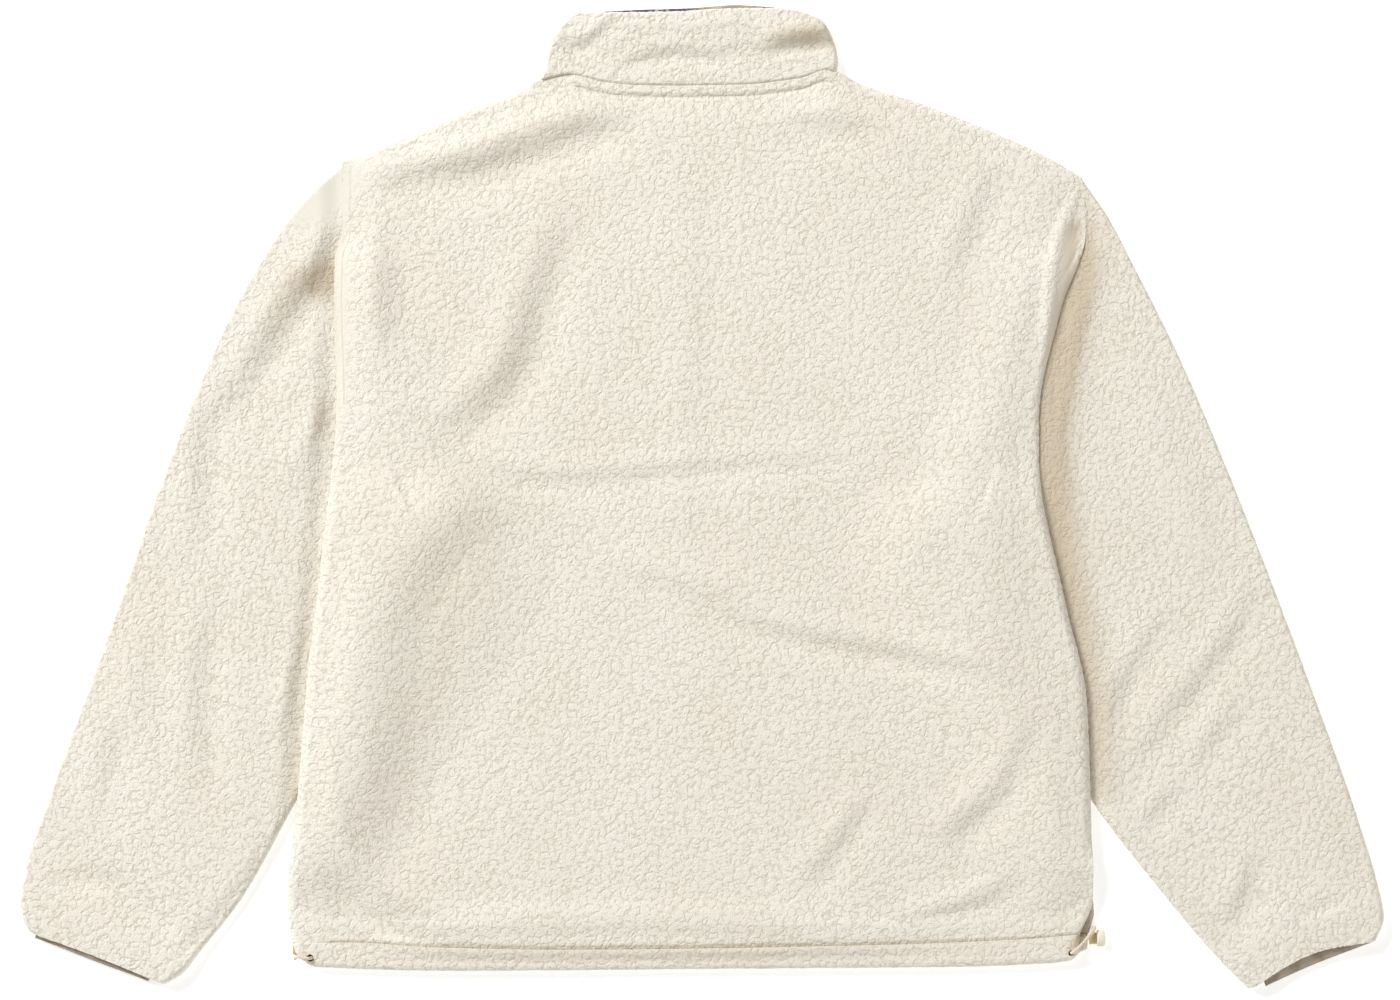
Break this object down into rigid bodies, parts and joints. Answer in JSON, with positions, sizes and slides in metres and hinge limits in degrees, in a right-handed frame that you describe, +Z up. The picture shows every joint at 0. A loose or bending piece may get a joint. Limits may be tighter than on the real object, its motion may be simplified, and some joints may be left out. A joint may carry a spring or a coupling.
{
  "type": "sherpa fleece pullover",
  "caption": "Boxy sherpa fleece pullover laid flat face down, with a stand-up collar, a drawcord hem and long sleeves partly under the body.",
  "frame": {"origin": "middle of the garment's footprint, on the surface it lies on", "axes": "+X across the garment from the left sleeve to the right one as seen from above its back, +Y from the hem to the collar, +Z up out of the back"},
  "size_m": [1.023, 0.738, 0.0239],
  "materials": {
    "fleece": "cream sherpa pile with a cobbled surface",
    "facing": "smooth taupe woven binding",
    "cord": "braided cream elastic cord",
    "lock": "moulded ochre plastic",
    "button": "moulded cream plastic"
  },
  "bodies": {
    "root": {"back": "fleece", "front": "fleece", "sleeve_left": "fleece", "sleeve_right": "fleece", "collar": "fleece", "hem_casing_back": "fleece", "hem_casing_front": "fleece", "collar_facing": "facing", "cuff_facing_left": "facing", "cuff_facing_right": "facing", "drawcord_left": "cord", "drawcord_right": "cord", "cord_lock_left": "lock", "cord_lock_right": "lock", "lock_button_left": "button", "lock_button_right": "button"}
  },
  "joints": []
}
